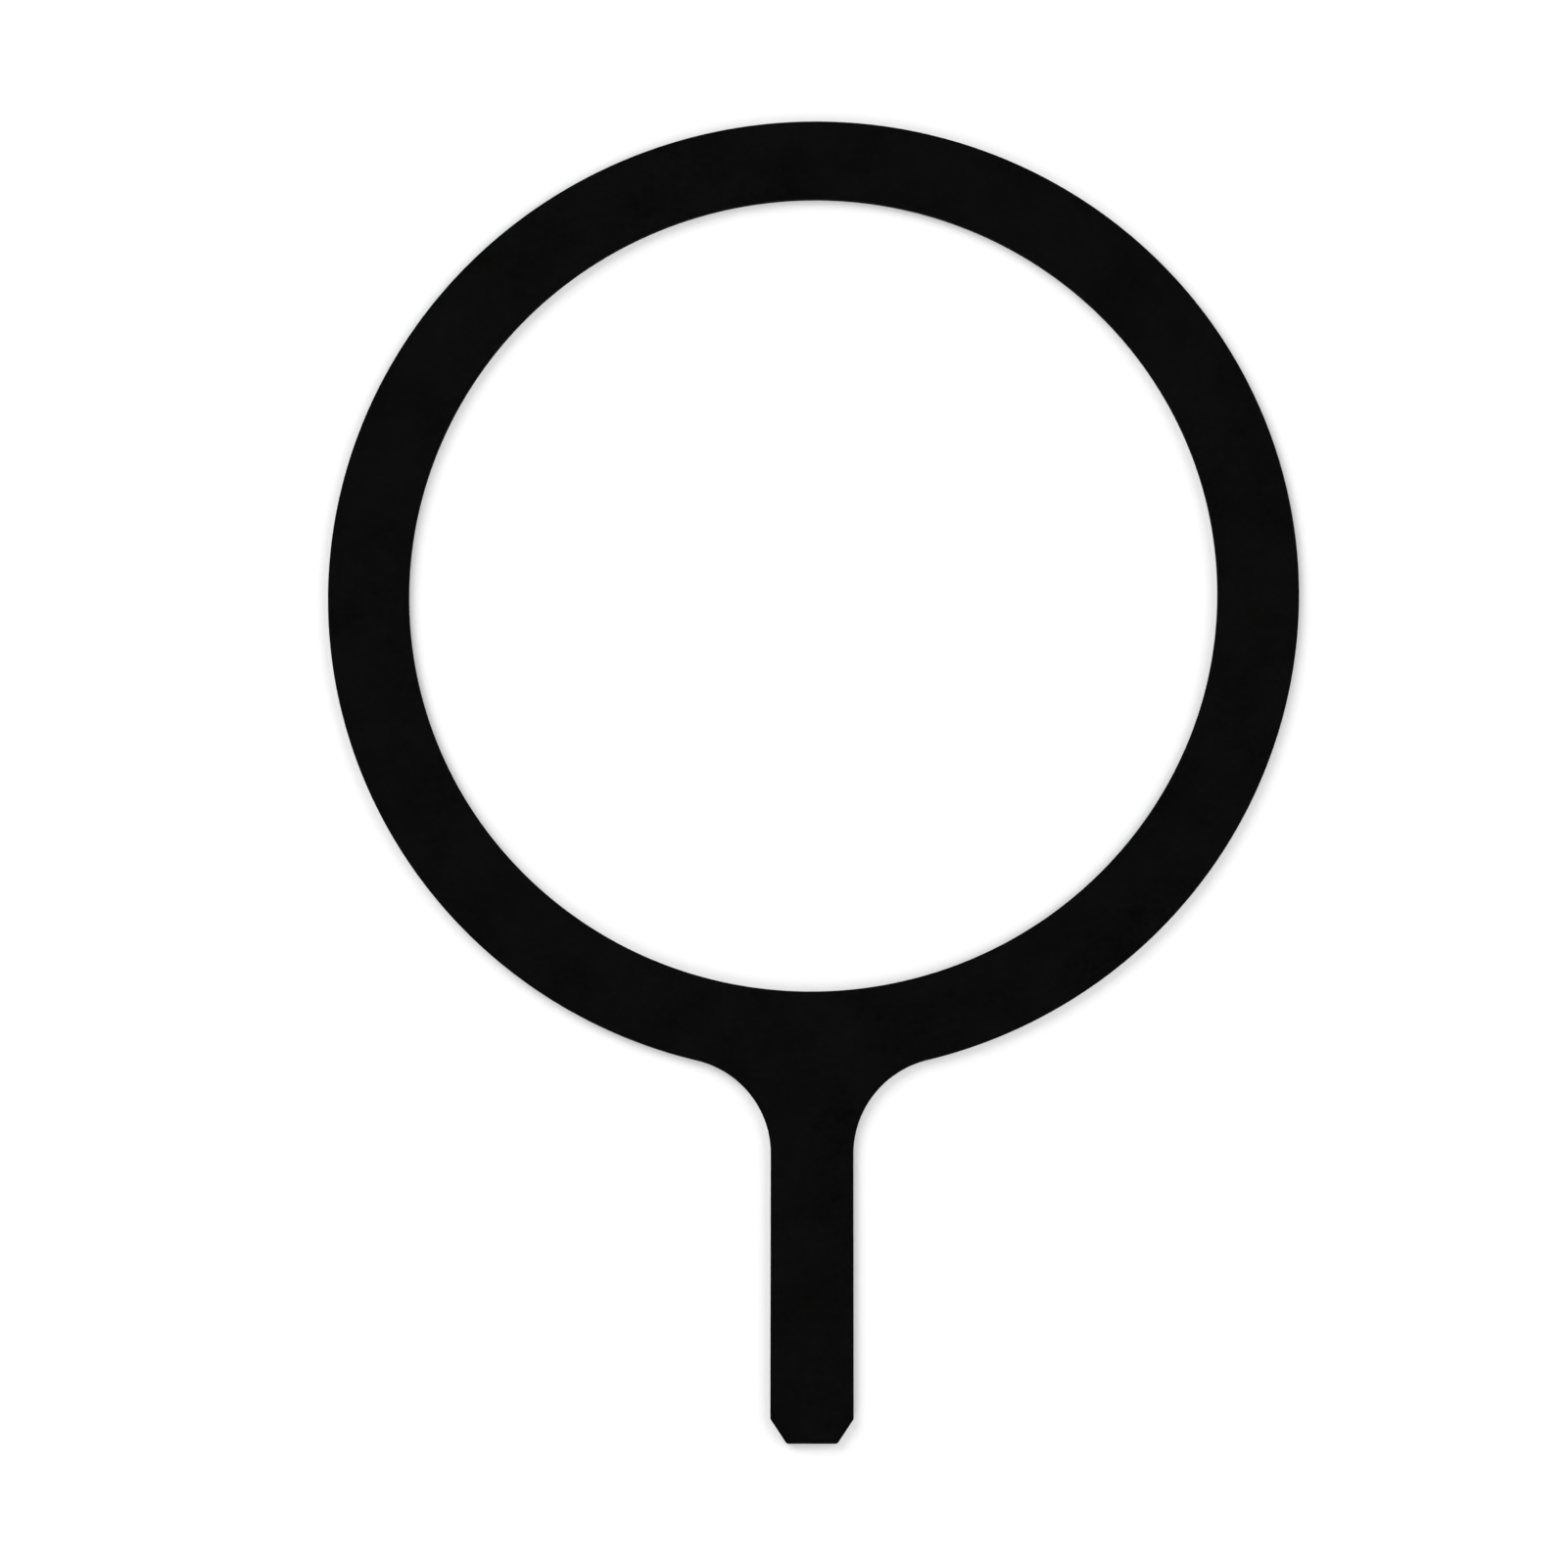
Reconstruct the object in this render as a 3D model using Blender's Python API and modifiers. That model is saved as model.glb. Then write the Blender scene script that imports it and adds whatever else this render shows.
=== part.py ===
"""Magnetic mount plate: a flat steel ring with a straight tail, blanked from one sheet.

Its flat back is glued down, and the ring of magnets in a holder takes hold of its front.
The plate lies on its back, with +Z out of its front face and +Y from the tail to the ring.
The origin is on the plane of the back face, under the middle of the whole length and width.
"""

import math

import bmesh
import bpy
from mathutils import Vector

# Sizes of the outline, in metres
RING_DIAMETER = 0.0550  # across the ring's outer edge
BAND_WIDTH = 0.0046  # from the ring's outer edge to its hole
TAIL_WIDTH = 0.0046  # between the tail's straight sides
TAIL_REACH = 0.0205  # from the ring's outer edge to the tail's end
FILLET_RADIUS = 0.0054  # of the hollow corner between the ring and each side of the tail
CORNER_CUT_WIDTH = 0.0009  # that each slanted corner takes off the tail's end
CORNER_CUT_LENGTH = 0.00135  # that each slanted corner takes off the tail's side

# Sizes of the sheet's section, in metres
SHEET_THICKNESS = 0.0005
FRONT_EDGE_RADIUS = 0.00010  # where the cut draws the face down at its edge
BACK_EDGE_RADIUS = 0.00005  # where the burr is taken off

# Fineness
FACET_DEPTH = 0.000005  # how far inside its true arc the middle of a facet may lie
EDGE_SEGMENTS = 3  # across each rounded edge
WELD_DISTANCE = 0.000001
SMOOTH_ANGLE = math.radians(40)

# Finish
COATING_COLOUR = (0.004, 0.004, 0.004, 1.0)
COATING_ROUGHNESS = 0.6
COATING_METALLIC = 0.0


def arc(centre, radius, start, end):
    """Points along an arc, both ends included. The angles are in radians from +X."""
    widest_facet = 2 * math.acos(1 - FACET_DEPTH / radius)
    facets = math.ceil(abs(end - start) / widest_facet)
    angles = [start + (end - start) * i / facets for i in range(facets + 1)]
    return [centre + radius * Vector((math.cos(a), math.sin(a))) for a in angles]


def outer_edge(ring_centre):
    """The closed outer edge, clockwise from the ring's top.

    Each fillet touches the ring from outside and the tail's straight side. So its centre lies
    a fillet's radius away from both, and it meets the ring on the line between their centres.
    """
    ring_radius = RING_DIAMETER / 2
    tail_side = TAIL_WIDTH / 2
    tail_end = -ring_radius - TAIL_REACH

    across = tail_side + FILLET_RADIUS
    down = -math.sqrt((ring_radius + FILLET_RADIUS) ** 2 - across**2)
    fillet_centre = ring_centre + Vector((across, down))
    touch = math.atan2(down, across)

    right_half = arc(ring_centre, ring_radius, math.pi / 2, 0)
    right_half += arc(ring_centre, ring_radius, 0, touch)[1:]
    right_half += arc(fillet_centre, FILLET_RADIUS, touch + math.pi, math.pi)[1:]
    right_half.append(ring_centre + Vector((tail_side, tail_end + CORNER_CUT_LENGTH)))
    right_half.append(ring_centre + Vector((tail_side - CORNER_CUT_WIDTH, tail_end)))

    left_half = [Vector((-point.x, point.y)) for point in reversed(right_half[1:])]
    return right_half + left_half


def hole_edge(ring_centre):
    """The closed edge of the round hole, anticlockwise, with a point at the end of each quarter."""
    hole_radius = RING_DIAMETER / 2 - BAND_WIDTH
    edge = []
    for quarter in range(4):
        edge += arc(ring_centre, hole_radius, quarter * math.pi / 2, (quarter + 1) * math.pi / 2)[1:]
    return edge


def blank_sheet(name, edges, collection):
    """A flat sheet inside the given edges, on z = 0, as a welded mesh with square edges."""
    outline = bpy.data.curves.new(name + "_outline", "CURVE")
    outline.dimensions = "2D"
    outline.fill_mode = "BOTH"
    outline.extrude = SHEET_THICKNESS / 2
    for edge in edges:
        spline = outline.splines.new("POLY")
        spline.points.add(len(edge) - 1)
        spline.use_cyclic_u = True
        for point, place in zip(spline.points, edge):
            point.co = (place.x, place.y, 0, 1)

    drawn = bpy.data.objects.new(name + "_outline", outline)
    collection.objects.link(drawn)
    drawn.location.z = SHEET_THICKNESS / 2
    bpy.context.view_layer.update()

    evaluated = drawn.evaluated_get(bpy.context.evaluated_depsgraph_get())
    sheet = bpy.data.objects.new(name, bpy.data.meshes.new_from_object(evaluated))
    sheet.matrix_world = drawn.matrix_world
    collection.objects.link(sheet)
    bpy.data.objects.remove(drawn)

    mesh = bmesh.new()
    mesh.from_mesh(sheet.data)
    bmesh.ops.remove_doubles(mesh, verts=mesh.verts, dist=WELD_DISTANCE)
    bmesh.ops.recalc_face_normals(mesh, faces=mesh.faces)
    mesh.to_mesh(sheet.data)
    mesh.free()
    return sheet


def round_edges(sheet):
    """Rounds the edges of both faces, each face's to its own radius by their bevel weights."""
    widest = max(FRONT_EDGE_RADIUS, BACK_EDGE_RADIUS)
    mesh = bmesh.new()
    mesh.from_mesh(sheet.data)
    weight = mesh.edges.layers.float.new("bevel_weight_edge")
    for edge in mesh.edges:
        walls = [face for face in edge.link_faces if abs(face.normal.z) < 0.5]
        if len(walls) != 1:
            continue
        # The sheet's own z = 0 is halfway through it.
        in_front = all(vert.co.z > 0 for vert in edge.verts)
        edge[weight] = (FRONT_EDGE_RADIUS if in_front else BACK_EDGE_RADIUS) / widest
    mesh.to_mesh(sheet.data)
    mesh.free()

    rounding = sheet.modifiers.new("rounded_edges", "BEVEL")
    rounding.limit_method = "WEIGHT"
    rounding.width = widest
    rounding.segments = EDGE_SEGMENTS
    rounding.use_clamp_overlap = False


def coating():
    """Matt black paint, baked on all over."""
    material = bpy.data.materials.new("black_coating")
    material.use_nodes = True
    material.diffuse_color = COATING_COLOUR
    shader = material.node_tree.nodes["Principled BSDF"]
    shader.inputs["Base Color"].default_value = COATING_COLOUR
    shader.inputs["Roughness"].default_value = COATING_ROUGHNESS
    shader.inputs["Metallic"].default_value = COATING_METALLIC
    return material


def main():
    for leftover in list(bpy.data.objects):
        bpy.data.objects.remove(leftover)
    collection = bpy.data.collections.new("magnetic_phone_mount_plate")
    bpy.context.scene.collection.children.link(collection)

    # The tail makes the plate longer than the ring, which so lies half that reach off the origin.
    ring_centre = Vector((0, TAIL_REACH / 2))
    edges = [outer_edge(ring_centre), hole_edge(ring_centre)]
    plate = blank_sheet("mount_plate", edges, collection)
    round_edges(plate)
    plate.data.materials.append(coating())
    plate.data.shade_smooth()
    plate.data.set_sharp_from_angle(angle=SMOOTH_ANGLE)


main()
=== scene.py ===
"""The looks of a magnetic mount plate: black painted steel, lying face up on white studio paper.

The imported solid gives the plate's place and overall size. All lengths are in metres.
"""

import math

import bmesh
import bpy
from mathutils import Matrix, Vector


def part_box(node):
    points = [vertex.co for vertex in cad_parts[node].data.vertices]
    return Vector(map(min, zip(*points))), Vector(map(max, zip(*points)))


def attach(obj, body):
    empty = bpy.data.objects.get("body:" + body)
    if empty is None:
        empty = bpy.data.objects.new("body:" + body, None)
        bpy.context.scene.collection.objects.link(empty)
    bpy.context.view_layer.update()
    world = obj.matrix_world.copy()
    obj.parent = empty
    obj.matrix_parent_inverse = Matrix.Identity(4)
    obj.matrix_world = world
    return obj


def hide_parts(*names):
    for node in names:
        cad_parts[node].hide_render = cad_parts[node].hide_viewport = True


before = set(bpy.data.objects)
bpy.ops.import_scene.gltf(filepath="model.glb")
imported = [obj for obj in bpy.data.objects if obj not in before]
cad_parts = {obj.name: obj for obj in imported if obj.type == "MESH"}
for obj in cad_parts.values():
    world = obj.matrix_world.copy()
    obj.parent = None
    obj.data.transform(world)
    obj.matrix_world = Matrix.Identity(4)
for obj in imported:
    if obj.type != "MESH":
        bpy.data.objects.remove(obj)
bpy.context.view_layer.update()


# The mount plate
# A flat ring with a straight tail, punched out of soft steel sheet in one stroke. The cut draws the
# front face down at its edge and leaves a torn wall below. The burr at the back is tumbled off, and
# the whole blank is then painted a matt black and baked.
plate_low, plate_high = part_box("mount_plate")
THICKNESS = plate_high.z - plate_low.z
RING_RADIUS = (plate_high.x - plate_low.x) / 2
TAIL_REACH = (plate_high.y - plate_low.y) - 2 * RING_RADIUS
RING_CENTRE = Vector((0, plate_high.y - RING_RADIUS))
BAND_WIDTH = 0.0046  # from the ring's outer edge to its hole
TAIL_WIDTH = 0.0046  # between the tail's straight sides
FILLET_RADIUS = 0.0054  # of the hollow corner between the ring and each side of the tail
CORNER_CUT_WIDTH = 0.0009  # that each slanted corner takes off the tail's end
CORNER_CUT_LENGTH = 0.00135  # that each slanted corner takes off the tail's side
CORNER_EASING = 0.0002  # radius that the punch's own corners have worn to
FRONT_ROLL_RADIUS = 0.00010  # where the cut draws the face down at its edge
BACK_BREAK_RADIUS = 0.00005  # where the burr is taken off
FACET_DEPTH = 0.0000002  # how far inside its true arc the middle of a facet may lie


def arc(centre, radius, start, end):
    """Points along an arc, both ends included. The angles are in radians from +X."""
    widest_facet = 2 * math.acos(1 - FACET_DEPTH / radius)
    facets = math.ceil(abs(end - start) / widest_facet)
    angles = [start + (end - start) * i / facets for i in range(facets + 1)]
    return [centre + radius * Vector((math.cos(a), math.sin(a))) for a in angles]


def eased_corner(before, corner, after):
    """The small arc that stands for the corner between two straight sides, turning to the right."""
    arriving = (corner - before).normalized()
    leaving = (after - corner).normalized()
    turn = math.atan2(arriving.cross(leaving), arriving.dot(leaving))
    first = corner - arriving * CORNER_EASING * math.tan(abs(turn) / 2)
    centre = first + CORNER_EASING * Vector((arriving.y, -arriving.x))
    start = math.atan2(first.y - centre.y, first.x - centre.x)
    return arc(centre, CORNER_EASING, start, start + turn)


def outer_edge():
    """The outer edge, clockwise from the ring's top, so that the steel lies on its right."""
    side = TAIL_WIDTH / 2
    end = -RING_RADIUS - TAIL_REACH
    # The fillet's centre lies its radius away from the tail's side, and from the ring's outside.
    across = side + FILLET_RADIUS
    down = -math.sqrt((RING_RADIUS + FILLET_RADIUS) ** 2 - across**2)
    touch = math.atan2(down, across)

    side_top = RING_CENTRE + Vector((side, down))
    side_foot = RING_CENTRE + Vector((side, end + CORNER_CUT_LENGTH))
    end_corner = RING_CENTRE + Vector((side - CORNER_CUT_WIDTH, end))
    end_middle = RING_CENTRE + Vector((0, end))

    half = arc(RING_CENTRE, RING_RADIUS, math.pi / 2, touch)
    half += arc(RING_CENTRE + Vector((across, down)), FILLET_RADIUS, touch + math.pi, math.pi)[1:]
    half += eased_corner(side_top, side_foot, end_corner)
    half += eased_corner(side_foot, end_corner, end_middle)
    return half + [Vector((-point.x, point.y)) for point in reversed(half[1:])]


def hole_edge():
    """The hole's edge, anticlockwise, which also keeps the steel on its right."""
    return arc(RING_CENTRE, RING_RADIUS - BAND_WIDTH, 0, 2 * math.pi)[:-1]


def put_in_scene(name, data):
    """A new object that holds the given curve, mesh, lamp or camera."""
    made = bpy.data.objects.new(name, data)
    bpy.context.scene.collection.objects.link(made)
    return made


def drawn_on_the_front(name, edges):
    """The closed edges as one curve object at the height of the front face."""
    curve = bpy.data.curves.new(name, "CURVE")
    curve.dimensions = "3D"
    for edge in edges:
        spline = curve.splines.new("POLY")
        spline.points.add(len(edge) - 1)
        spline.use_cyclic_u = True
        for point, place in zip(spline.points, edge):
            point.co = (place.x, place.y, THICKNESS, 1)
    return put_in_scene(name, curve)


def set_inputs(node, inputs):
    """Sets a node's sockets to the given values, or links the given outputs to them."""
    for name, given in inputs.items():
        if isinstance(given, bpy.types.NodeSocket):
            node.id_data.links.new(given, node.inputs[name])
        else:
            node.inputs[name].default_value = given


def add_node(tree, kind, inputs=None, **settings):
    """A new node with its settings and its inputs."""
    node = tree.nodes.new(kind)
    for name, value in settings.items():
        setattr(node, name, value)
    set_inputs(node, inputs or {})
    return node


def result_of(tree, kind, inputs=None, **settings):
    """The first output of a new node."""
    return add_node(tree, kind, inputs, **settings).outputs[0]


def math_result(tree, operation, first, second=0.0):
    """The output of a new Math node."""
    return result_of(tree, "ShaderNodeMath", {0: first, 1: second}, operation=operation)


PAINT_COLOUR = (0.0022, 0.0022, 0.0022, 1)
PAINT_SPECULAR = 0.025  # the matting powder in the paint leaves little of the usual shine
FACE_ROUGHNESS = 0.7
CUT_ROUGHNESS = 0.8  # the paint runs thin over the torn wall
CLOUD_SIZE = 0.004  # of a patch of paler or darker paint
CLOUD_DETAIL = 3.0  # layers of finer noise in the clouds
CLOUD_BREAKUP = 0.6  # how strongly the finer detail breaks up the clouds
GRAIN_SIZE = 0.0003  # of the fine bumps in the paint
GRAIN_DETAIL = 2.0
GRAIN_BREAKUP = 0.5
GRAIN_HEIGHT = 0.000008
CLOUD_SHARE = 0.6  # of the clouds in the mottling, with the rest left to the grain
NOISE_MIDDLE = 0.5  # the value that a noise strays from
NOISE_REACH = 0.25  # how far it strays
MOTTLING = 0.8  # share of its colour that the paint gains or loses at that reach
ROUGHNESS_SPREAD = 0.2  # what the roughness gains or loses there
SHEAR_MARK_HEIGHT = 0.000006
SHEAR_MARK_WIDTH = 0.00006
SHEAR_MARK_STRETCH = 0.08  # how slowly the marks change down the cut, against along the edge
SHEAR_MARK_DETAIL = 2.0


def baked_paint_group():
    """Baked matt paint: its clouded colour, its uneven gloss and the height of its fine grain."""
    tree = bpy.data.node_groups.new("baked_black_paint", "ShaderNodeTree")
    tree.interface.new_socket("Colour", in_out="INPUT", socket_type="NodeSocketColor")
    for name, value in (
        ("Mottling", MOTTLING),
        ("Cloud Size", CLOUD_SIZE),
        ("Grain Size", GRAIN_SIZE),
        ("Grain Height", GRAIN_HEIGHT),
        ("Roughness", FACE_ROUGHNESS),
        ("Roughness Spread", ROUGHNESS_SPREAD),
    ):
        socket = tree.interface.new_socket(name, in_out="INPUT", socket_type="NodeSocketFloat")
        socket.default_value = value
    tree.interface.new_socket("Colour", in_out="OUTPUT", socket_type="NodeSocketColor")
    tree.interface.new_socket("Roughness", in_out="OUTPUT", socket_type="NodeSocketFloat")
    tree.interface.new_socket("Height", in_out="OUTPUT", socket_type="NodeSocketFloat")
    given = tree.nodes.new("NodeGroupInput").outputs
    place = add_node(tree, "ShaderNodeTexCoord").outputs["Object"]

    def noise(size, detail, breakup):
        scale = math_result(tree, "DIVIDE", 1.0, size)
        inputs = {"Vector": place, "Scale": scale, "Detail": detail, "Roughness": breakup}
        return add_node(tree, "ShaderNodeTexNoise", inputs).outputs["Fac"]

    clouds = noise(given["Cloud Size"], CLOUD_DETAIL, CLOUD_BREAKUP)
    grain = noise(given["Grain Size"], GRAIN_DETAIL, GRAIN_BREAKUP)
    clouds_part = math_result(tree, "MULTIPLY", clouds, CLOUD_SHARE)
    grain_part = math_result(tree, "MULTIPLY", grain, 1 - CLOUD_SHARE)
    mixed = math_result(tree, "ADD", clouds_part, grain_part)
    off_middle = math_result(tree, "SUBTRACT", mixed, NOISE_MIDDLE)
    swing = math_result(tree, "DIVIDE", off_middle, NOISE_REACH)

    level = math_result(tree, "ADD", 1.0, math_result(tree, "MULTIPLY", swing, given["Mottling"]))
    scaled = {0: given["Colour"], "Scale": level}
    colour = result_of(tree, "ShaderNodeVectorMath", scaled, operation="SCALE")
    spread = math_result(tree, "MULTIPLY", swing, given["Roughness Spread"])
    roughness = math_result(tree, "ADD", given["Roughness"], spread)
    height = math_result(tree, "MULTIPLY", grain, given["Grain Height"])
    results = {"Colour": colour, "Roughness": roughness, "Height": height}
    set_inputs(tree.nodes.new("NodeGroupOutput"), results)
    return tree


paint_effect = baked_paint_group()


def new_paint(name, roughness):
    """A new material, and the paint's node in it."""
    material = bpy.data.materials.new(name)
    material.use_nodes = True
    inputs = {"Colour": PAINT_COLOUR, "Roughness": roughness}
    paint = add_node(material.node_tree, "ShaderNodeGroup", inputs, node_tree=paint_effect)
    return material, paint


def apply_paint(material, paint, height):
    """Joins the paint to the material's shader, with relief of the given height in metres."""
    tree = material.node_tree
    # A bump with a distance of 1 takes its height as it is.
    relief = {"Height": height, "Distance": 1.0}
    inputs = {
        "Base Color": paint.outputs["Colour"],
        "Roughness": paint.outputs["Roughness"],
        "Specular IOR Level": PAINT_SPECULAR,
        "Normal": result_of(tree, "ShaderNodeBump", relief),
    }
    set_inputs(tree.nodes["Principled BSDF"], inputs)


def painted_face():
    """The paint on the sheet's two faces."""
    material, paint = new_paint("black_paint_on_face", FACE_ROUGHNESS)
    apply_paint(material, paint, paint.outputs["Height"])
    return material


def painted_cut():
    """The paint on the cut, where the punch's upright drag marks show below the front roll."""
    material, paint = new_paint("black_paint_on_cut", CUT_ROUGHNESS)
    tree = material.node_tree
    place = add_node(tree, "ShaderNodeTexCoord").outputs["Object"]
    stretch = {"Vector": place, "Scale": (1, 1, SHEAR_MARK_STRETCH)}
    stretched = result_of(tree, "ShaderNodeMapping", stretch)
    inputs = {"Vector": stretched, "Scale": 1 / SHEAR_MARK_WIDTH, "Detail": SHEAR_MARK_DETAIL}
    marks = add_node(tree, "ShaderNodeTexNoise", inputs).outputs["Fac"]

    inputs = {
        "Value": add_node(tree, "ShaderNodeSeparateXYZ", {"Vector": place}).outputs["Z"],
        "From Min": THICKNESS - FRONT_ROLL_RADIUS,
        "From Max": THICKNESS - 2 * FRONT_ROLL_RADIUS,
    }
    below_roll = result_of(tree, "ShaderNodeMapRange", inputs, interpolation_type="SMOOTHSTEP")
    mark_height = math_result(tree, "MULTIPLY", below_roll, SHEAR_MARK_HEIGHT)
    marks = math_result(tree, "MULTIPLY", marks, mark_height)
    apply_paint(material, paint, math_result(tree, "ADD", paint.outputs["Height"], marks))
    return material


ROUND_POINTS = 8  # along each quarter round of the section
EDGE_STRIP_WIDTH = 0.00016  # of the swept section's flat borders, which join the two faces
WELD_DISTANCE = 0.000001
CLOSED_EDGE_FACES = 2  # beside each edge that isn't open
FLAT_FACING = 0.9999  # how upright the normal of a flat face is, at least


def blanked_sheet_tree():
    """Makes a sheet out of its edges: the section of the cut swept along them, and two flat faces.

    The edges are drawn on the front face, with the steel on their right. The section is drawn
    with x into the steel and y down from the front.
    """
    tree = bpy.data.node_groups.new("blanked_sheet", "GeometryNodeTree")
    tree.is_modifier = True
    tree.interface.new_socket("Edges", in_out="INPUT", socket_type="NodeSocketGeometry")
    for name in (
        "Thickness",
        "Front Roll Radius",
        "Back Break Radius",
        "Edge Strip Width",
        "Weld Distance",
    ):
        socket = tree.interface.new_socket(name, in_out="INPUT", socket_type="NodeSocketFloat")
        socket.subtype = "DISTANCE"
        socket.min_value = 0
    tree.interface.new_socket("Face Paint", in_out="INPUT", socket_type="NodeSocketMaterial")
    tree.interface.new_socket("Cut Paint", in_out="INPUT", socket_type="NodeSocketMaterial")
    tree.interface.new_socket("Sheet", in_out="OUTPUT", socket_type="NodeSocketGeometry")
    given = tree.nodes.new("NodeGroupInput").outputs
    thickness = given["Thickness"]
    roll = given["Front Roll Radius"]
    broken = given["Back Break Radius"]
    strip = given["Edge Strip Width"]

    def at(x, y, z=0.0):
        return result_of(tree, "ShaderNodeCombineXYZ", {"X": x, "Y": y, "Z": z})

    def joined(*geometries):
        # A join puts first what was linked to it last.
        join = tree.nodes.new("GeometryNodeJoinGeometry")
        for geometry in reversed(geometries):
            tree.links.new(geometry, join.inputs["Geometry"])
        return join.outputs["Geometry"]

    def welded(geometry):
        inputs = {"Geometry": geometry, "Distance": given["Weld Distance"]}
        return result_of(tree, "GeometryNodeMergeByDistance", inputs)

    def straight(start, end):
        return result_of(tree, "GeometryNodeCurvePrimitiveLine", {"Start": start, "End": end})

    def quarter_round(radius, start_angle, centre):
        inputs = {
            "Resolution": ROUND_POINTS,
            "Radius": radius,
            "Start Angle": start_angle,
            "Sweep Angle": math.pi / 2,
        }
        drawn = result_of(tree, "GeometryNodeCurveArc", inputs, mode="RADIUS")
        return result_of(tree, "GeometryNodeTransform", {"Geometry": drawn, "Translation": centre})

    wall_foot = math_result(tree, "SUBTRACT", thickness, broken)
    section = joined(
        straight(at(strip, 0.0), at(roll, 0.0)),
        quarter_round(roll, math.pi, at(roll, roll)),
        straight(at(0.0, roll), at(0.0, wall_foot)),
        quarter_round(broken, math.pi / 2, at(broken, wall_foot)),
        straight(at(broken, thickness), at(strip, thickness)),
    )
    # Welded as a mesh, the five pieces come back as one line.
    section = welded(result_of(tree, "GeometryNodeCurveToMesh", {"Curve": section}))
    section = result_of(tree, "GeometryNodeMeshToCurve", {"Mesh": section})

    upright = result_of(tree, "GeometryNodeSetCurveNormal", {"Curve": given["Edges"]}, mode="Z_UP")
    sweep = {"Curve": upright, "Profile Curve": section}
    inside_out = result_of(tree, "GeometryNodeCurveToMesh", sweep)
    cut = result_of(tree, "GeometryNodeFlipFaces", {"Mesh": inside_out})

    # The swept section is open only along the borders that its two faces fill.
    position = result_of(tree, "GeometryNodeInputPosition")
    height = add_node(tree, "ShaderNodeSeparateXYZ", {"Vector": position}).outputs["Z"]
    halfway = math_result(tree, "DIVIDE", thickness, 2.0)
    in_front = math_result(tree, "GREATER_THAN", height, halfway)
    faces_beside = result_of(tree, "GeometryNodeInputMeshEdgeNeighbors")
    open_edge = math_result(tree, "LESS_THAN", faces_beside, CLOSED_EDGE_FACES)
    front_borders = math_result(tree, "MULTIPLY", open_edge, in_front)
    borders = result_of(tree, "GeometryNodeMeshToCurve", {"Mesh": cut, "Selection": front_borders})
    filled = result_of(tree, "GeometryNodeFillCurve", {"Curve": borders})
    raised = {"Geometry": filled, "Translation": at(0.0, 0.0, thickness)}
    front = result_of(tree, "GeometryNodeTransform", raised)
    back = result_of(tree, "GeometryNodeFlipFaces", {"Mesh": filled})

    sheet = welded(joined(cut, front, back))
    sheet = result_of(tree, "GeometryNodeSetShadeSmooth", {"Geometry": sheet})
    sheet = result_of(tree, "GeometryNodeRealizeInstances", {"Geometry": sheet})
    normal = result_of(tree, "GeometryNodeInputNormal")
    facing = add_node(tree, "ShaderNodeSeparateXYZ", {"Vector": normal}).outputs["Z"]
    is_cut = math_result(tree, "LESS_THAN", math_result(tree, "ABSOLUTE", facing), FLAT_FACING)
    all_painted = {"Geometry": sheet, "Material": given["Face Paint"]}
    sheet = result_of(tree, "GeometryNodeSetMaterial", all_painted)
    cut_painted = {"Geometry": sheet, "Selection": is_cut, "Material": given["Cut Paint"]}
    sheet = result_of(tree, "GeometryNodeSetMaterial", cut_painted)
    set_inputs(tree.nodes.new("NodeGroupOutput"), {"Sheet": sheet})
    return tree


def made_by(tree, source, name, values):
    """The plain mesh that the tree makes of the source, as a new object in its place."""
    modifier = source.modifiers.new(tree.name, "NODES")
    modifier.node_group = tree
    for item in tree.interface.items_tree:
        if item.name in values:
            modifier[item.identifier] = values[item.name]
    bpy.context.view_layer.update()
    evaluated = source.evaluated_get(bpy.context.evaluated_depsgraph_get())
    made = put_in_scene(name, bpy.data.meshes.new_from_object(evaluated))
    source.modifiers.remove(modifier)
    bpy.data.objects.remove(source)

    # The swept curve leaves a material slot that no face uses.
    slots = made.data.materials
    for index in reversed(range(len(slots))):
        if slots[index] is None:
            slots.pop(index=index)
    return made


plate = made_by(
    blanked_sheet_tree(),
    drawn_on_the_front("plate_edges", (outer_edge(), hole_edge())),
    "painted_mount_plate",
    {
        "Thickness": THICKNESS,
        "Front Roll Radius": FRONT_ROLL_RADIUS,
        "Back Break Radius": BACK_BREAK_RADIUS,
        "Edge Strip Width": EDGE_STRIP_WIDTH,
        "Weld Distance": WELD_DISTANCE,
        "Face Paint": painted_face(),
        "Cut Paint": painted_cut(),
    },
)
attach(plate, "root")
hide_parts("mount_plate")


# The floor and the backdrop
# One sheet of white paper that lies flat round the plate and curves up into a wall on all sides.
# It shows brighter than it is lit, and more so far from the plate, past the lamps, so that it is
# plain white in the picture.
FLOOR_RADIUS = 1.0
CURVE_RADIUS = 0.3
WALL_TOP = 0.9
TURNS = 96  # facets all round the paper
CURVE_STEPS = 12  # facets up its curve
WHITE = (1, 1, 1, 1)
PAPER_COLOUR = (0.9, 0.9, 0.9, 1)
PAPER_ROUGHNESS = 0.9
NEAR_LIFT = 0.18  # how much brighter than lit the paper shows, where 1 is white
FAR_LIFT = 0.6
NEAR_RADIUS = 0.1  # up to which the paper has its near lift
FAR_RADIUS = 0.6  # from which it has its far lift


def paper_profile():
    """The paper's section, as radius and height, from the middle of the floor to the wall's top."""
    profile = [(0.0, 0.0), (FLOOR_RADIUS, 0.0)]
    for step in range(1, CURVE_STEPS + 1):
        angle = math.pi / 2 * step / CURVE_STEPS
        radius = FLOOR_RADIUS + CURVE_RADIUS * math.sin(angle)
        profile.append((radius, CURVE_RADIUS * (1 - math.cos(angle))))
    profile.append((FLOOR_RADIUS + CURVE_RADIUS, WALL_TOP))
    return profile


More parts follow.
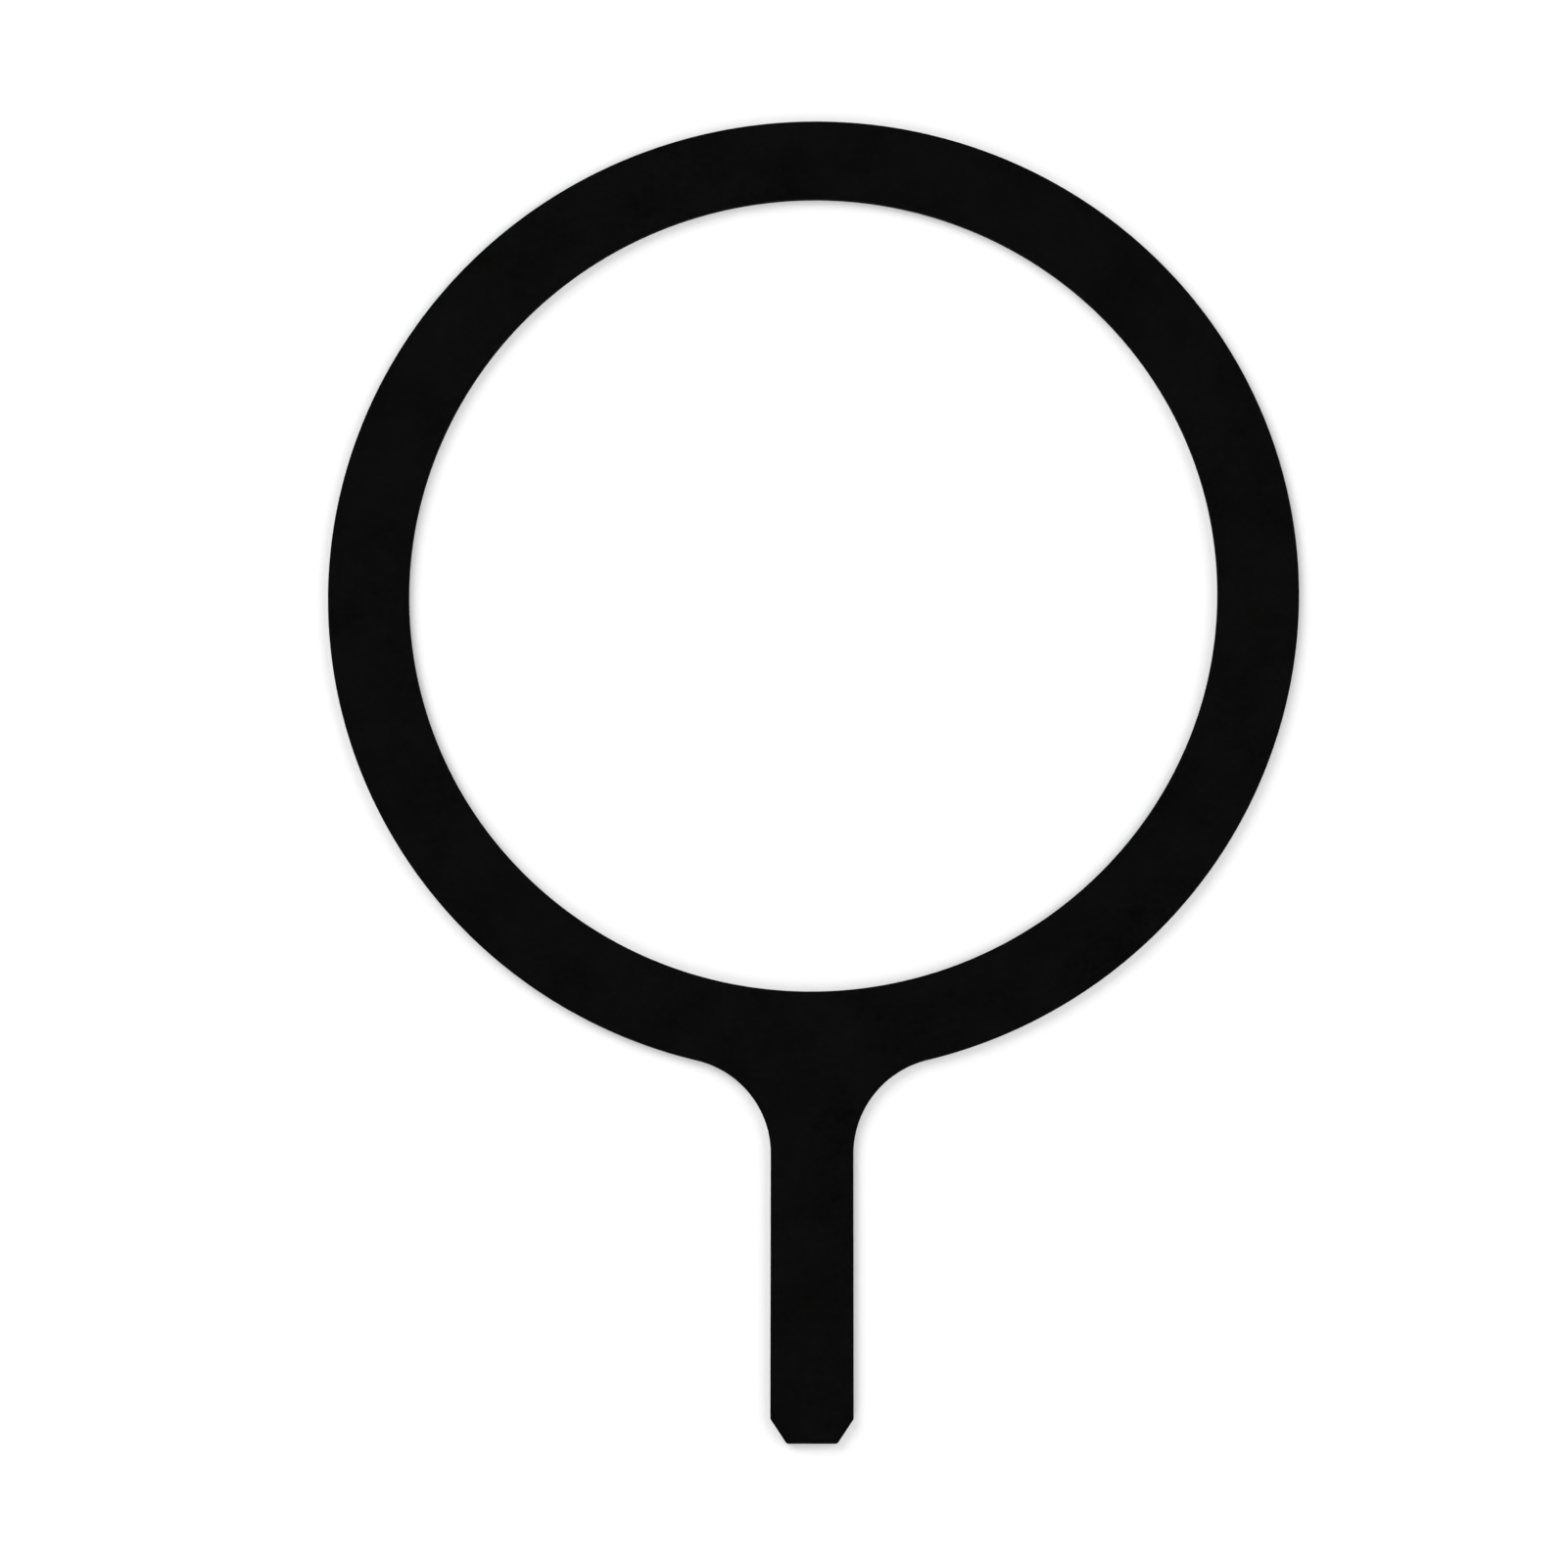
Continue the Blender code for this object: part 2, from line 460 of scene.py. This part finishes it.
def spun(name, profile):
    """The profile spun round the Z axis, as an object with its faces towards the middle."""
    mesh = bmesh.new()
    corners = [mesh.verts.new((radius, 0, height)) for radius, height in profile]
    lines = [mesh.edges.new(pair) for pair in zip(corners, corners[1:])]
    turn = {"cent": (0, 0, 0), "axis": (0, 0, 1), "angle": 2 * math.pi, "steps": TURNS}
    bmesh.ops.spin(mesh, geom=corners + lines, use_merge=True, **turn)
    bmesh.ops.remove_doubles(mesh, verts=mesh.verts, dist=WELD_DISTANCE)
    # All faces are turned outwards first, and then together to the side that is seen.
    bmesh.ops.recalc_face_normals(mesh, faces=mesh.faces)
    bmesh.ops.reverse_faces(mesh, faces=mesh.faces)
    made = put_in_scene(name, bpy.data.meshes.new(name))
    mesh.to_mesh(made.data)
    mesh.free()
    made.data.shade_smooth()
    return made


def white_paper():
    """Matt white paper that gives off a little light, but only towards the camera and mirrors."""
    material = bpy.data.materials.new("white_paper")
    material.use_nodes = True
    tree = material.node_tree
    place = add_node(tree, "ShaderNodeTexCoord").outputs["Object"]
    from_middle = add_node(tree, "ShaderNodeVectorMath", {0: place}, operation="LENGTH")
    inputs = {
        "Value": from_middle.outputs["Value"],
        "From Min": NEAR_RADIUS,
        "From Max": FAR_RADIUS,
        "To Min": NEAR_LIFT,
        "To Max": FAR_LIFT,
    }
    lift = result_of(tree, "ShaderNodeMapRange", inputs)
    rays = add_node(tree, "ShaderNodeLightPath").outputs
    seen = math_result(tree, "MAXIMUM", rays["Is Camera Ray"], rays["Is Glossy Ray"])
    seen = math_result(tree, "MAXIMUM", seen, rays["Is Transmission Ray"])
    inputs = {
        "Base Color": PAPER_COLOUR,
        "Roughness": PAPER_ROUGHNESS,
        "Specular IOR Level": 0.0,
        "Emission Color": WHITE,
        "Emission Strength": math_result(tree, "MULTIPLY", seen, lift),
    }
    set_inputs(tree.nodes["Principled BSDF"], inputs)
    return material


paper = spun("studio_paper", paper_profile())
paper.data.materials.append(white_paper())


# The studio light
# Three large softboxes round the plate, kept low enough that the camera sees none of them mirrored
# in the paint, and an even glow from the room.
ROOM_GLOW = 0.15
SOFTBOX_SIZE = 0.7
SOFTBOX_DISTANCE = 0.9
SOFTBOX_CLIMB = math.radians(35)  # from the floor up to each softbox, as the plate sees it

world = bpy.data.worlds.new("studio_room")
world.use_nodes = True
set_inputs(world.node_tree.nodes["Background"], {"Color": WHITE, "Strength": ROOM_GLOW})
bpy.context.scene.world = world


def softbox(name, heading, power):
    """A square lamp aimed at the plate. The heading is in degrees from +X, the power in watts."""
    lamp_data = bpy.data.lights.new(name, "AREA")
    lamp_data.shape = "SQUARE"
    lamp_data.size = SOFTBOX_SIZE
    lamp_data.energy = power
    lamp = put_in_scene(name, lamp_data)
    turn = math.radians(heading)
    level = math.cos(SOFTBOX_CLIMB)
    towards_lamp = Vector((math.cos(turn) * level, math.sin(turn) * level, math.sin(SOFTBOX_CLIMB)))
    lamp.location = towards_lamp * SOFTBOX_DISTANCE
    lamp.rotation_mode = "QUATERNION"
    lamp.rotation_quaternion = towards_lamp.to_track_quat("Z", "Y")


softbox("key_softbox", heading=135, power=5.5)
softbox("fill_softbox", heading=10, power=3.5)
softbox("front_softbox", heading=255, power=3.5)


# The camera
# It looks down on the plate from almost straight above, a little from below the tail and the right.
CAMERA_AZIMUTH = math.radians(9.914)
CAMERA_ELEVATION = math.radians(80.206)
CAMERA_ROLL = math.radians(0.072)
CAMERA_DISTANCE = 0.2972
CAMERA_TARGET = Vector((-0.001595, -0.000813, 0))
LENS_MM = 121.08
SENSOR_MM = 36


def camera_axes():
    """The directions to the camera's right, its top and its back."""
    level = math.cos(CAMERA_ELEVATION)
    back = Vector(
        (
            math.sin(CAMERA_AZIMUTH) * level,
            -math.cos(CAMERA_AZIMUTH) * level,
            math.sin(CAMERA_ELEVATION),
        )
    )
    # The plate's own length stands upright in the picture.
    right = Vector((0, 1, 0)).cross(back).normalized()
    up = back.cross(right)
    rolled_right = right * math.cos(CAMERA_ROLL) + up * math.sin(CAMERA_ROLL)
    rolled_up = up * math.cos(CAMERA_ROLL) - right * math.sin(CAMERA_ROLL)
    return rolled_right, rolled_up, back


camera_data = bpy.data.cameras.new("camera")
camera_data.lens = LENS_MM
camera_data.sensor_width = SENSOR_MM
camera = put_in_scene("camera", camera_data)
axes = camera_axes()
place = CAMERA_TARGET + axes[2] * CAMERA_DISTANCE
camera.matrix_world = Matrix.Translation(place) @ Matrix(axes).transposed().to_4x4()
bpy.context.scene.camera = camera
bpy.context.scene.view_settings.view_transform = "Standard"
